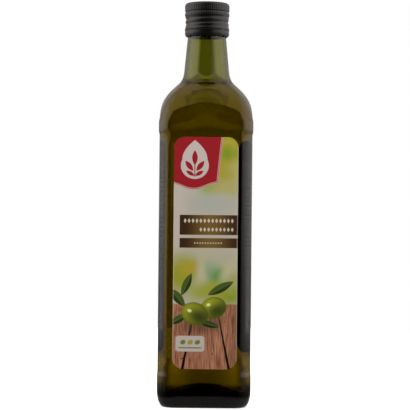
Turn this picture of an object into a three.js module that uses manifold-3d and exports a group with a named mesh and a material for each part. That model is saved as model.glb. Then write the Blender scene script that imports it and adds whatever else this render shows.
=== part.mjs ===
// A square glass bottle of olive oil with a rolled-on metal screw cap, drawn in millimetres.
// +Z is up, the bottle stands on z = 0 with its axis on the Z axis, and its front label faces -Y.
import * as THREE from "three";
import { mergeVertices } from "three/addons/utils/BufferGeometryUtils.js";
import Module from "manifold-3d";

const wasm = await Module();
wasm.setup();

// Driving dimensions of the glass. A half width is from the axis to the middle of a side.
const baseHalf = 32.5;
const panelHalf = 32.25;
const ridgeHalf = 32.83;
const baseBandTop = 21.5;
const panelBottom = 25.5;
const panelTop = 188.5;
const ridgeBottom = 191.5;
const shoulderFoot = 198;
const shoulderRise = 11.25;
const shoulderTurn = { half: 21, height: 224.4 };
const turnBelow = { out: 10.7, down: 9.4 };
const turnAbove = { out: 1, up: 0.9 };
const neckFoot = { half: 15.92, height: 234 };
const neckDrop = 6.5;
const neckTaper = 0.1;
const neckTop = { half: 13.5, height: 259.2 };
const heelReach = 4.8;
const heelHeight = 12;
const pushUpHalf = 24;
const pushUpDepth = 7;

// The wall and the inside
const bodyWall = 2;
const neckWall = 2.4;
const floorCentre = 15.3;
const floorEdge = { half: 25, height: 10.6 };
const floorDip = 0.4;
const innerHeel = 3.4;
const finishHalf = 13.1;
const finishFoot = 260.8;
const boreHalf = 9.6;
const boreFoot = 263;
const rimRound = 0.8;

// Sections go from a rounded square in the body to a circle in the neck.
const squareness = 0.7;
const roundHalf = 16.3;
const squareHalf = 29;
const flattestBow = 0.001;
const ringSteps = 40;
const curveSteps = 8;
const heelSteps = 3;
const rimSteps = 2;

// The contents
const oilLevel = 227.5;
const oilGap = 0.3;

// The cap is one pressed shell: its lower band hangs on thin bridges between the cuts.
const capRadius = 15.75;
const capBottom = 258.9;
const capTop = 282.7;
const capWall = 0.5;
const capInner = 14.45;
const capSteps = 56;
const topRound = 2;
const knurlCount = 70;
const knurlDepth = 0.18;
const upperKnurls = { bottom: 277, top: 281.2 };
const lowerKnurls = { bottom: 273.7, top: 275.4 };
const grooveHeight = 276.3;
const grooveRadius = 15.2;
const waistTop = 272.8;
const waistBottom = 266;
const waistRadius = 15.3;
const threadPitch = 3.6;
const threadDepth = 0.45;
const threadWidth = 3;
const threadTurns = 1.8;
const threadStart = 266.2;
const threadTurnFrom = 0.35;
const threadFade = 0.08;
const threadRings = 12;
const bandBulge = { radius: 15.7, height: 261.8 };
const bandCurl = 0.6;
const bandGroove = { radius: 15.5, height: 262.7 };
const cutHeight = 263.7;
const cutTall = 0.35;
const cutCount = 9;
const cutLip = 0.5;
const bridgeWidth = 0.9;
const bridgeTurn = -1.47;
const rolledEdge = { inner: 13.85, outer: 14.3 };
const linerGap = 0.1;

// The labels are paper plates lying on the flat panels.
const labelThick = 0.3;
const labelGap = 0.05;
const labelSteps = 5;
const frontLabel = { width: 44.2, low: 27.3, high: 186.9, corner: 7.4, shift: 0.3 };
const backLabel = { width: 40, low: 35, high: 186.9, corner: 6, shift: -3.4 };

const mouthHeight = capTop - capWall - linerGap;

// Returns 0 up to start, 1 from end on, and an even S-curve between them.
function ease(value, start, end) {
  return THREE.MathUtils.smoothstep(value, start, end);
}

// How far from its corners a section bows: flat-sided in the body, a full circle at the neck.
function bowAt(height) {
  const rise = (height - shoulderFoot) / (neckFoot.height - shoulderFoot);
  return THREE.MathUtils.clamp(rise, flattestBow, 1);
}

// The point of a section whose outward direction is at angle turn from +Z of the lathe.
// Four wide arcs make the sides and four small arcs the corners, and they meet smoothly.
function sectionPoint(half, height, turn) {
  const corner = half * (1 - squareness * ease(half, roundHalf, squareHalf));
  const side = Math.max(half / bowAt(height), half);
  const reach = Math.sqrt(Math.max(2 * (side - corner) ** 2 - (side - half) ** 2, 0));
  const centre = Math.max((reach - (side - half)) / 2, 0);
  const meet = Math.atan2(centre, centre + side - half);
  const quarter = Math.PI / 2;
  const sideNumber = Math.round(turn / quarter);
  const lean = turn - sideNumber * quarter;
  const along = Math.sign(lean) * centre;
  const onSide = Math.abs(lean) <= meet;
  const across = onSide ? side * Math.sin(lean) : along + corner * Math.sin(lean);
  const out = onSide ? half - side + side * Math.cos(lean) : centre + corner * Math.cos(lean);
  return new THREE.Vector2(across, out).rotateAround(new THREE.Vector2(), -sideNumber * quarter);
}

// Lathes a profile of half widths and heights, then presses each round ring to its section.
function squareLathe(profile) {
  const halfStep = Math.PI / ringSteps;
  const geometry = new THREE.LatheGeometry(profile, ringSteps, halfStep);
  const position = geometry.attributes.position;
  for (let i = 0; i < position.count; i++) {
    const height = position.getY(i);
    const half = Math.hypot(position.getX(i), position.getZ(i));
    const turn = Math.atan2(position.getX(i), position.getZ(i));
    const point = sectionPoint(half, height, turn);
    position.setXYZ(i, point.x, height, point.y);
  }
  return geometry.rotateX(Math.PI / 2);
}

// Moves a profile to its left by a distance that may change with height. Ends on the axis stay there.
function inset(profile, distanceAt) {
  return profile.map((point, i) => {
    const before = profile[Math.max(i - 1, 0)];
    const after = profile[Math.min(i + 1, profile.length - 1)];
    const along = after.clone().sub(before).normalize();
    const distance = distanceAt(point.y);
    const half = point.x === 0 ? 0 : point.x - along.y * distance;
    return new THREE.Vector2(half, point.y + along.x * distance);
  });
}

// The part of a rising profile that lies under a level, ending exactly on it.
function upTo(profile, level) {
  const count = profile.findIndex((point) => point.y > level);
  const last = profile[count - 1];
  const next = profile[count];
  return [...profile.slice(0, count), last.clone().lerp(next, (level - last.y) / (next.y - last.y))];
}

// The outside from the shoulder ridge to the top of the neck
function shoulderAndNeck() {
  const path = new THREE.Path();
  path.moveTo(ridgeHalf, shoulderFoot);
  path.bezierCurveTo(
    ridgeHalf,
    shoulderFoot + shoulderRise,
    shoulderTurn.half + turnBelow.out,
    shoulderTurn.height - turnBelow.down,
    shoulderTurn.half,
    shoulderTurn.height,
  );
  path.bezierCurveTo(
    shoulderTurn.half - turnAbove.out,
    shoulderTurn.height + turnAbove.up,
    neckFoot.half + neckDrop * neckTaper,
    neckFoot.height - neckDrop,
    neckFoot.half,
    neckFoot.height,
  );
  path.lineTo(neckTop.half, neckTop.height);
  return path.getPoints(curveSteps);
}

// The inside from the middle of the floor up to the top of the neck. It widens once, under the ridge.
function insideProfile() {
  const wallAt = (height) => {
    const rise = ease(height, shoulderFoot, neckFoot.height);
    return THREE.MathUtils.lerp(bodyWall, neckWall, rise);
  };
  const innerHalf = panelHalf - bodyWall;
  const { half, height } = floorEdge;
  const floor = new THREE.Path();
  floor.moveTo(0, floorCentre);
  floor.quadraticCurveTo(half / 2, floorCentre, half, height);
  floor.quadraticCurveTo(innerHalf, height - floorDip, innerHalf, height + innerHeel);
  floor.lineTo(innerHalf, panelTop);
  return [...floor.getPoints(2 * rimSteps), ...inset(shoulderAndNeck(), wallAt)];
}

// Glass: a push-up base with a flat bearing ring, a rounded heel, recessed label panels between
// a base band and a shoulder ridge, the shoulder, a tapered neck and an open mouth
function glassBottle() {
  const foot = new THREE.Path();
  foot.moveTo(0, pushUpDepth);
  foot.quadraticCurveTo(pushUpHalf / 2, pushUpDepth, pushUpHalf, 0);
  foot.lineTo(baseHalf - heelReach, 0);
  foot.absellipse(baseHalf - heelReach, heelHeight, heelReach, heelHeight, -Math.PI / 2, 0, false);
  foot.lineTo(baseHalf, baseBandTop);
  foot.lineTo(panelHalf, panelBottom);
  foot.lineTo(panelHalf, panelTop);
  foot.lineTo(ridgeHalf, ridgeBottom);
  const finish = new THREE.Path();
  finish.moveTo(finishHalf, finishFoot);
  finish.lineTo(finishHalf, mouthHeight - rimRound);
  finish.quadraticCurveTo(finishHalf, mouthHeight, finishHalf - rimRound, mouthHeight);
  finish.lineTo(boreHalf + rimRound, mouthHeight);
  finish.quadraticCurveTo(boreHalf, mouthHeight, boreHalf, mouthHeight - rimRound);
  finish.lineTo(boreHalf, boreFoot);
  const outside = [...foot.getPoints(heelSteps), ...shoulderAndNeck()];
  return squareLathe([...outside, ...finish.getPoints(rimSteps), ...insideProfile().reverse()]);
}

// Oil: everything inside the glass up to the fill level in the foot of the neck
function oliveOil() {
  const wetted = upTo(inset(insideProfile(), () => oilGap), oilLevel);
  return squareLathe([...wetted, new THREE.Vector2(0, oilLevel)]);
}

// How deep the rolled thread lies at a height and a turn round the cap, from 0 to 1
function threadAt(height, turn) {
  const round = THREE.MathUtils.euclideanModulo(turn / (2 * Math.PI) - threadTurnFrom, 1);
  const climbed = (height - threadStart) / threadPitch - round;
  const lap = Math.round(climbed);
  const gone = lap + round;
  const fade = ease(gone, 0, threadFade) * (1 - ease(gone, threadTurns - threadFade, threadTurns));
  const away = Math.abs(climbed - lap) * threadPitch;
  return fade * (1 - ease(away, 0, threadWidth / 2));
}

// The cap's outline from its rolled-in edge up to the middle of its top, then back down inside
function capProfile() {
  const knurlFoot = capRadius - knurlDepth;
  const bandInner = bandBulge.radius - capWall;
  const ringGap = (waistTop - waistBottom) / threadRings;
  const path = new THREE.Path();
  path.moveTo(rolledEdge.outer, capBottom);
  path.quadraticCurveTo(bandBulge.radius, capBottom + bandCurl, bandBulge.radius, bandBulge.height);
  path.lineTo(bandGroove.radius, bandGroove.height);
  path.lineTo(capRadius, cutHeight - cutLip);
  path.lineTo(capRadius, cutHeight + cutLip);
  path.lineTo(waistRadius, waistBottom);
  for (let i = 1; i <= threadRings; i++) {
    path.lineTo(waistRadius, waistBottom + i * ringGap);
  }
  path.lineTo(knurlFoot, lowerKnurls.bottom);
  path.lineTo(knurlFoot, lowerKnurls.top);
  path.lineTo(grooveRadius, grooveHeight);
  path.lineTo(knurlFoot, upperKnurls.bottom);
  path.lineTo(knurlFoot, capTop - topRound);
  path.quadraticCurveTo(knurlFoot, capTop, capRadius - topRound, capTop);
  path.lineTo(0, capTop);
  path.lineTo(0, capTop - capWall);
  path.lineTo(capInner, capTop - capWall);
  path.lineTo(capInner, waistBottom);
  path.lineTo(bandInner, cutHeight + cutLip);
  path.lineTo(bandInner, bandBulge.height);
  path.lineTo(rolledEdge.inner, capBottom);
  path.lineTo(rolledEdge.outer, capBottom);
  return path.getPoints(heelSteps);
}

// A closed solid from a geometry, ready to be joined or cut
function solidOf(geometry) {
  geometry.deleteAttribute("normal");
  geometry.deleteAttribute("uv");
  const merged = mergeVertices(geometry, 1e-4);
  const index = merged.index.array;
  const corners = [];
  for (let i = 0; i < index.length; i += 3) {
    const [a, b, c] = index.slice(i, i + 3);
    if (a !== b && b !== c && c !== a) corners.push(a, b, c);
  }
  const vertProperties = Float32Array.from(merged.attributes.position.array);
  const mesh = new wasm.Mesh({ numProp: 3, vertProperties, triVerts: Uint32Array.from(corners) });
  return new wasm.Manifold(mesh);
}

// A three.js geometry from a joined or cut solid
function geometryOf(solid) {
  const mesh = solid.getMesh();
  const geometry = new THREE.BufferGeometry();
  geometry.setAttribute("position", new THREE.BufferAttribute(mesh.vertProperties, 3));
  geometry.setIndex(new THREE.BufferAttribute(mesh.triVerts, 1));
  geometry.computeVertexNormals();
  return geometry;
}

// A ring of upright knurls round the cap: an extruded star outline with a hole in it
function knurlRing({ bottom, top }) {
  const outline = new THREE.Shape();
  for (let i = 0; i < 2 * knurlCount; i++) {
    const radius = capRadius - (i % 2) * knurlDepth;
    const angle = (i * Math.PI) / knurlCount;
    outline[i ? "lineTo" : "moveTo"](radius * Math.cos(angle), radius * Math.sin(angle));
  }
  outline.closePath();
  outline.holes.push(new THREE.Path().absarc(0, 0, capInner + capWall, 0, 2 * Math.PI, true));
  const options = { depth: top - bottom, bevelEnabled: false, curveSegments: capSteps / 2 };
  return new THREE.ExtrudeGeometry(outline, options).translate(0, 0, bottom);
}

// One cut of the row that frees the lower band, an arc through the wall between two bridges
function bandCut(number) {
  const stepAngle = (2 * Math.PI) / cutCount;
  const halfBridge = bridgeWidth / capRadius / 2;
  const from = bridgeTurn + number * stepAngle + halfBridge;
  const to = bridgeTurn + (number + 1) * stepAngle - halfBridge;
  const outline = new THREE.Shape();
  outline.absarc(0, 0, capRadius + 2 * capWall, from, to, false);
  outline.absarc(0, 0, capInner - 2 * capWall, to, from, true);
  const options = { depth: cutTall, bevelEnabled: false, curveSegments: heelSteps };
  return new THREE.ExtrudeGeometry(outline, options).translate(0, 0, cutHeight - cutTall / 2);
}

// Cap: lathed shell with its thread rolled in, knurls joined on and the row of cuts taken out
function screwCap() {
  const shell = new THREE.LatheGeometry(capProfile(), capSteps);
  const position = shell.attributes.position;
  for (let i = 0; i < position.count; i++) {
    const height = position.getY(i);
    const radius = Math.hypot(position.getX(i), position.getZ(i));
    const turn = Math.atan2(position.getX(i), position.getZ(i));
    const rolled = radius > capInner + capWall && height < lowerKnurls.bottom;
    const scale = rolled ? 1 - (threadDepth * threadAt(height, turn)) / radius : 1;
    position.setXYZ(i, position.getX(i) * scale, height, position.getZ(i) * scale);
  }
  let solid = solidOf(shell.rotateX(Math.PI / 2));
  for (const row of [upperKnurls, lowerKnurls]) {
    solid = solid.add(solidOf(knurlRing(row)));
  }
  for (let number = 0; number < cutCount; number++) {
    solid = solid.subtract(solidOf(bandCut(number)));
  }
  return geometryOf(solid);
}

// A label: a rounded rectangle of paper standing against a panel
function labelPlate(label) {
  const { width, low, high, corner, shift } = label;
  const side = width / 2;
  const outline = new THREE.Shape();
  outline.moveTo(-side, low + corner);
  outline.absarc(-side + corner, low + corner, corner, Math.PI, 1.5 * Math.PI, false);
  outline.absarc(side - corner, low + corner, corner, 1.5 * Math.PI, 2 * Math.PI, false);
  outline.absarc(side - corner, high - corner, corner, 0, 0.5 * Math.PI, false);
  outline.absarc(-side + corner, high - corner, corner, 0.5 * Math.PI, Math.PI, false);
  const options = { depth: labelThick, bevelEnabled: false, curveSegments: labelSteps };
  const plate = new THREE.ExtrudeGeometry(outline, options).rotateX(Math.PI / 2);
  return plate.translate(shift, -panelHalf - labelGap, 0);
}

const clear = { transparent: true, opacity: 0.5 };
const materials = {
  glass: new THREE.MeshStandardMaterial({ color: 0x5a5a1e, roughness: 0.05, ...clear }),
  oil: new THREE.MeshStandardMaterial({ color: 0x6b5a10, roughness: 0.1 }),
  cap: new THREE.MeshStandardMaterial({ color: 0x121310, roughness: 0.35, metalness: 0.4 }),
  frontPaper: new THREE.MeshStandardMaterial({ color: 0xa9a58c, roughness: 0.6 }),
  backPaper: new THREE.MeshStandardMaterial({ color: 0x9a9588, roughness: 0.6 }),
};

function named(name, geometry, material) {
  const mesh = new THREE.Mesh(geometry, material);
  mesh.name = name;
  return mesh;
}

const bottle = new THREE.Group();
bottle.add(named("glass_bottle", glassBottle(), materials.glass));
bottle.add(named("olive_oil", oliveOil(), materials.oil));
bottle.add(named("screw_cap", screwCap(), materials.cap));
bottle.add(named("front_label", labelPlate(frontLabel), materials.frontPaper));
const back = named("back_label", labelPlate(backLabel), materials.backPaper);
back.rotation.z = Math.PI;
bottle.add(back);

export default bottle;
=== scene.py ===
# %% [markdown]
# # A square bottle of olive oil
# This lesson dresses a measured model of an oil bottle. The measured solids are already the right
# size and stand in the right place, so the first step only loads them. Every later step makes one
# real piece: the moulded glass, the oil, the pressed metal cap and the two printed labels.
# Lengths are typed in millimetres, as a maker would measure them, and turned into metres on the way in.

# %% Load the measured model
import math

import bpy
import numpy as np
from mathutils import Matrix, Vector


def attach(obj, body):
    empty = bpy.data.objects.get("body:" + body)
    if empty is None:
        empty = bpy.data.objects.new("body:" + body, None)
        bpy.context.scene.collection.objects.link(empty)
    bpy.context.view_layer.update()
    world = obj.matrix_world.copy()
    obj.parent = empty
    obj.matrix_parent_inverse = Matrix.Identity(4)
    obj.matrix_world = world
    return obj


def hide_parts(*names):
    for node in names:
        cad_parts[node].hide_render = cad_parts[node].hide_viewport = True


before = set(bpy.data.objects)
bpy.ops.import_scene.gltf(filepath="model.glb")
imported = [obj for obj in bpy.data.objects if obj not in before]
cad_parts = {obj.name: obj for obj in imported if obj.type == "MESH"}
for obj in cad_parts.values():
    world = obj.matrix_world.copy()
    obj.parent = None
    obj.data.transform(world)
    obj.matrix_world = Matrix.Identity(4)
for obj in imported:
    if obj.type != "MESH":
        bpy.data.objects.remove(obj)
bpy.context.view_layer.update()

MM = 0.001
print("measured solids:", sorted(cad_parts))

# %% [markdown]
# ## The camera
# The photograph was taken from about a metre away, level with the middle of the bottle, and held a
# hair off upright. A long lens keeps the sides nearly parallel, as a product picture needs. The lens
# is worked out from how many pixels of the picture one millimetre of the bottle fills.

# %% Camera
PICTURE = 410
SENSOR = 36.0
CAMERA_DISTANCE = 1100.0
CAMERA_HEIGHT = 138.1
PIXELS_PER_MM = 1.0 / 0.708
HORIZON_ROW = 208.0
AXIS_COLUMN = 205.4
CAMERA_ROLL = math.radians(0.55)

lens_data = bpy.data.cameras.new("product_lens")
lens_data.sensor_width = SENSOR
lens_data.lens = SENSOR * PIXELS_PER_MM * CAMERA_DISTANCE / PICTURE
lens_data.clip_start = 0.05
lens_data.clip_end = 20.0
camera = bpy.data.objects.new("product_camera", lens_data)
bpy.context.scene.collection.objects.link(camera)
aim_up = math.atan((HORIZON_ROW - PICTURE / 2) / (PIXELS_PER_MM * CAMERA_DISTANCE))
aim_left = math.atan((AXIS_COLUMN - PICTURE / 2) / (PIXELS_PER_MM * CAMERA_DISTANCE))
turned = Matrix.Rotation(aim_left, 4, "Z") @ Matrix.Rotation(math.pi / 2 + aim_up, 4, "X")
camera.matrix_world = (
    Matrix.Translation((0, -CAMERA_DISTANCE * MM, CAMERA_HEIGHT * MM))
    @ turned
    @ Matrix.Rotation(CAMERA_ROLL, 4, "Z")
)
bpy.context.scene.camera = camera
print(f"lens {lens_data.lens:.1f} mm, tilted up {math.degrees(aim_up):.2f} degrees")

# %% [markdown]
# ## The shape of the glass, as rows of points
# A square bottle is not a box. Its cross-section is a square with round corners in the body, bows
# out on the shoulder and ends as a true circle at the neck. One could sculpt that, or bevel a cube,
# but a formula keeps it exact: four wide arcs make the sides, four small arcs the corners, and one
# number says how square the section still is at a given half width.

# %% Cross-section of the bottle
SQUARENESS = 0.7
ROUND_HALF, SQUARE_HALF = 16.3, 29.0
SHOULDER_FOOT, NECK_FOOT = 198.0, 234.0
FLATTEST_BOW = 0.001
QUARTER = math.pi / 2


def smooth_step(value, start, end):
    t = min(max((value - start) / (end - start), 0.0), 1.0)
    return t * t * (3 - 2 * t)


def arcs(half, height):
    """Corner radius, side radius, corner centre and the angle where side and corner meet."""
    corner = half * (1 - SQUARENESS * smooth_step(half, ROUND_HALF, SQUARE_HALF))
    bow = min(max((height - SHOULDER_FOOT) / (NECK_FOOT - SHOULDER_FOOT), FLATTEST_BOW), 1.0)
    side = half / bow
    reach = math.sqrt(max(2 * (side - corner) ** 2 - (side - half) ** 2, 0.0))
    centre = max((reach - (side - half)) / 2, 0.0)
    return corner, side, centre, math.atan2(centre, centre + side - half)


SIDE_COLUMNS, CORNER_COLUMNS = 8, 22
ROUND_SHARE = math.radians(14)


def section(half, height):
    """One closed ring of points, in millimetres, with the first side facing -Y."""
    corner, side, centre, meet = arcs(half, height)
    edge = meet + ROUND_SHARE * (1 - centre / half / SQUARENESS)
    leans = [edge * (2 * i / SIDE_COLUMNS - 1) for i in range(SIDE_COLUMNS)]
    leans += [edge + (QUARTER - 2 * edge) * i / CORNER_COLUMNS for i in range(CORNER_COLUMNS)]
    ring = []
    for quarter in range(4):
        turn = quarter * QUARTER
        for lean in leans:
            if abs(lean) <= meet:
                across, out = side * math.sin(lean), half - side + side * math.cos(lean)
            else:
                across = math.copysign(centre, lean) + corner * math.sin(lean)
                out = centre + corner * math.cos(lean)
            x, y = across, -out
            ring.append((
                x * math.cos(turn) - y * math.sin(turn),
                x * math.sin(turn) + y * math.cos(turn),
                height,
            ))
    return ring


print("points in one ring:", len(section(30.0, 100.0)))

# %% [markdown]
# ## Lofting rings into a mesh
# A closed skin made of rings is a loft. Where a ring shrinks to a point on the axis it becomes one
# shared vertex and a fan of triangles, so that the mesh stays closed. A second helper marks the faces
# that pass a test, which the glass uses later to know where oil wets it.

# %% Loft helper
def new_object(name, vertices, faces, smooth=True):
    mesh = bpy.data.meshes.new(name)
    mesh.from_pydata([Vector(v) * MM for v in vertices], [], faces)
    mesh.polygons.foreach_set("use_smooth", [smooth] * len(mesh.polygons))
    mesh.update()
    made = bpy.data.objects.new(name, mesh)
    bpy.context.scene.collection.objects.link(made)
    return made


def loft(name, rings):
    """A mesh through rings of points, in order. A ring of one point is a pole."""
    starts, vertices = [], []
    for ring in rings:
        starts.append(len(vertices))
        vertices.extend(ring)
    faces = []
    for a in range(len(rings) - 1):
        b = a + 1
        count = max(len(rings[a]), len(rings[b]))
        for i in range(count):
            j = (i + 1) % count
            low = [starts[a] + k for k in ((i, j) if len(rings[a]) > 1 else (0,))]
            high = [starts[b] + k for k in ((j, i) if len(rings[b]) > 1 else (0,))]
            faces.append(low + high)
    return new_object(name, vertices, faces)


def mark_faces(piece, name, test):
    """Stores 1 on the faces whose middle passes the test, and 0 on the others."""
    mark = piece.data.attributes.new(name, "FLOAT", "FACE")
    mark.data.foreach_set("value", [float(test(p.center / MM)) for p in piece.data.polygons])


def bezier(start, handle_a, handle_b, end, steps):
    t = np.linspace(0, 1, steps + 1)[:, None]
    points = [np.array(p, float) for p in (start, handle_a, handle_b, end)]
    weights = ((1 - t) ** 3, 3 * (1 - t) ** 2 * t, 3 * (1 - t) * t**2, t**3)
    return sum(w * p for w, p in zip(weights, points))


def bend(start, handle, end, steps):
    """A quadratic curve through one handle."""
    a, h, b = (np.array(p, float) for p in (start, handle, end))
    return bezier(a, a + (h - a) * 2 / 3, b + (h - b) * 2 / 3, b, steps)


def step_between(low, high, steps=6):
    """A soft S-shaped step of the outline, as a mould leaves it."""
    t = np.linspace(0, 1, steps + 1)
    half = low[0] + (high[0] - low[0]) * (3 * t**2 - 2 * t**3)
    return np.stack([half, low[1] + (high[1] - low[1]) * t], axis=1)


print("rows in one step of the outline:", len(step_between((0, 0), (1, 1))))

# %% [markdown]
# ## The outline of the glass
# The outline runs from the middle of the hollow base, over the ring the bottle stands on, round the
# heel, up the base band, along the recessed label panel, over the ridge and the shoulder to the
# neck. The recess is there on the real bottle so that labels are not scuffed in a crate.
# The inside follows the outside one wall thickness away, but rounds off the step of the recess.
# Above the heel both outlines only rise, so a half width can be looked up there by its height.

# %% Outline in half widths and heights
BASE_HALF, PANEL_HALF, RIDGE_HALF = 32.5, 32.25, 32.79
BASE_BAND_TOP, PANEL_BOTTOM, PANEL_TOP, RIDGE_BOTTOM = 21.5, 25.5, 188.5, 191.5
SHOULDER_TURN, SHOULDER_RISE = (21.0, 224.4), 11.25
TURN_BELOW, TURN_ABOVE = (10.7, 9.4), (1.0, 0.9)
NECK_FOOT_HALF, NECK_TOP = 15.92, (13.5, 259.2)
HEEL_REACH, HEEL_HEIGHT = 4.8, 12.0
PUSH_UP_HALF, PUSH_UP_DEPTH = 24.0, 7.0
BODY_WALL, NECK_WALL = 2.0, 2.4
FLOOR_CENTRE, FLOOR_EDGE, FLOOR_DIP, INNER_HEEL = 15.3, (25.0, 10.6), 0.4, 3.4
FINISH_HALF, FINISH_FOOT, BORE_HALF, BORE_FOOT = 13.1, 260.8, 9.6, 263.0
RIM_ROUND, MOUTH_HEIGHT = 0.8, 282.1
INNER_HALF = PANEL_HALF - BODY_WALL


def shoulder_and_neck():
    turn, height = SHOULDER_TURN
    dome = bezier((RIDGE_HALF, SHOULDER_FOOT), (RIDGE_HALF, SHOULDER_FOOT + SHOULDER_RISE),
                  (turn + TURN_BELOW[0], height - TURN_BELOW[1]), SHOULDER_TURN, 30)
    foot = bezier(SHOULDER_TURN, (turn - TURN_ABOVE[0], height + TURN_ABOVE[1]),
                  (NECK_FOOT_HALF + 0.65, NECK_FOOT - 6.5), (NECK_FOOT_HALF, NECK_FOOT), 18)
    neck = np.linspace((NECK_FOOT_HALF, NECK_FOOT), NECK_TOP, 9)
    return np.concatenate([dome, foot[1:], neck[1:]])


def outside_outline():
    dome = bend((0, PUSH_UP_DEPTH), (PUSH_UP_HALF / 2, PUSH_UP_DEPTH), (PUSH_UP_HALF, 0), 12)
    turns = np.linspace(-QUARTER, 0, 17)
    heel_centre = (BASE_HALF - HEEL_REACH, HEEL_HEIGHT)
    heel = np.stack([heel_centre[0] + HEEL_REACH * np.cos(turns),
                     heel_centre[1] + HEEL_HEIGHT * np.sin(turns)], axis=1)
    low_step = step_between((BASE_HALF, BASE_BAND_TOP), (PANEL_HALF, PANEL_BOTTOM))
    panel = np.linspace((PANEL_HALF, PANEL_BOTTOM), (PANEL_HALF, PANEL_TOP), 24)
    high_step = step_between((PANEL_HALF, PANEL_TOP), (RIDGE_HALF, RIDGE_BOTTOM))
    return np.concatenate([dome, heel, low_step, panel[1:], high_step[1:], shoulder_and_neck()])


def inset(outline, wall_at):
    """The outline moved in along its own normal by a wall that may change with height."""
    before = np.concatenate([outline[:1], outline[:-1]])
    after = np.concatenate([outline[1:], outline[-1:]])
    along = (after - before) / np.linalg.norm(after - before, axis=1)[:, None]
    wall = np.array([wall_at(height) for height in outline[:, 1]])
    moved = outline + np.stack([-along[:, 1] * wall, along[:, 0] * wall], axis=1)
    moved[outline[:, 0] == 0, 0] = 0
    return moved


def wall_at(height):
    return BODY_WALL + (NECK_WALL - BODY_WALL) * smooth_step(height, SHOULDER_FOOT, NECK_FOOT)


def inside_outline():
    half, height = FLOOR_EDGE
    floor = bend((0, FLOOR_CENTRE), (half / 2, FLOOR_CENTRE), FLOOR_EDGE, 12)
    heel = bend(FLOOR_EDGE, (INNER_HALF, height - FLOOR_DIP), (INNER_HALF, height + INNER_HEEL), 16)
    upper = inset(shoulder_and_neck(), wall_at)
    body = np.linspace(heel[-1], (INNER_HALF, PANEL_TOP), 26)
    under_ridge = step_between(body[-1], upper[0])
    return np.concatenate([floor, heel[1:], body[1:], under_ridge[1:], upper[1:]])


def half_at(wall, height):
    """Half width of a rising wall at a height, read between its rows."""
    return float(np.interp(height, wall[:, 1], wall[:, 0]))


OUTER_WALL_ROW, INNER_WALL_ROW = 17, 20
outside, inside = outside_outline(), inside_outline()
outer_wall, inner_wall = outside[OUTER_WALL_ROW:], inside[INNER_WALL_ROW:]
print("outline points outside and inside:", len(outside), len(inside))

# %% [markdown]
# ## The glass bottle
# Real glass has two skins, and light bends at both, so the bottle is a hollow solid with a true wall
# and an open mouth under the cap. A single shell would look like a balloon. The two outlines are
# joined over the rim and lofted ring by ring. Faces of the inside that oil touches are marked,
# because light hardly bends from glass into oil: the two are nearly alike.

# %% Glass bottle
OIL_LEVEL = 226.3
MENISCUS_RISE, MENISCUS_REACH = 1.2, 1.6
CONTACT = OIL_LEVEL + MENISCUS_RISE
WETTED_FROM = FLOOR_EDGE[1] - 1.5


def rings_of(outline):
    return [section(half, height) if half > 1e-6 else [(0.0, 0.0, height)] for half, height in outline]


def rim_outline():
    top = MOUTH_HEIGHT
    outer = bend((FINISH_HALF, top - RIM_ROUND), (FINISH_HALF, top), (FINISH_HALF - RIM_ROUND, top), 5)
    inner = bend((BORE_HALF + RIM_ROUND, top), (BORE_HALF, top), (BORE_HALF, top - RIM_ROUND), 5)
    return np.concatenate([[(FINISH_HALF, FINISH_FOOT)], outer, inner, [(BORE_HALF, BORE_FOOT)]])


def touches_oil(middle):
    """True on the inner skin under the oil's edge, found by its distance inside the outer skin."""
    half = max(abs(middle.x), abs(middle.y))
    if middle.z > CONTACT or middle.z < WETTED_FROM:
        return False
    outer = half_at(outer_wall, middle.z)
    corner, _, centre, _ = arcs(outer, middle.z)
    past = math.hypot(max(abs(middle.x) - centre, 0), max(abs(middle.y) - centre, 0))
    depth = corner - past if past > 0 else outer - half
    return depth > BODY_WALL / 2


glass = loft("green_glass", rings_of(np.concatenate([outside, rim_outline(), inside[::-1]])))
mark_faces(glass, "wetted", touches_oil)
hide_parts("glass_bottle")
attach(glass, "root")
print("glass faces:", len(glass.data.polygons))

# %% [markdown]
# ## The oil
# A liquid in a bottle has no skin of its own at the wall, so the oil is lofted a hair larger than the
# inside of the glass and reaches just into the wall: no film of air can show. Only its top is a real
# surface, and there it climbs the glass a little, as oil does. That top is marked.

# %% Olive oil
INTO_WALL, CURL_START = 0.05, 0.3


def oil_outline():
    wetted = inset(inside, lambda height: -INTO_WALL)
    wetted = wetted[wetted[:, 1] < CONTACT - CURL_START]
    edge_half = half_at(inner_wall, CONTACT) + INTO_WALL
    curl_end = (edge_half - MENISCUS_REACH, OIL_LEVEL)
    climb = bend((edge_half, CONTACT), (edge_half - 0.5, OIL_LEVEL), curl_end, 8)
    level = np.linspace(curl_end, (0, OIL_LEVEL), 5)
    return np.concatenate([wetted, climb, level[1:]])


def is_open_top(middle):
    """True on the level and its curl, which lie clear of the wall."""
    half = max(abs(middle.x), abs(middle.y))
    return middle.z > OIL_LEVEL - 0.2 and half < half_at(inner_wall, middle.z) - 0.02


oil = loft("olive_oil_fill", rings_of(oil_outline()))
mark_faces(oil, "open_top", is_open_top)
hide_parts("olive_oil")
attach(oil, "root")
print("oil faces:", len(oil.data.polygons))

# %% [markdown]
# ## A shorthand for node materials
# A material is a small graph of nodes. Written out in full, it hides its own idea, so this helper
# keeps one line for one node: give it a kind and its inputs, and get the output back. Anything that
# is a socket is linked, and anything else is set as a plain value. A world has such a graph too, so
# the same helper can write into one.

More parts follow.
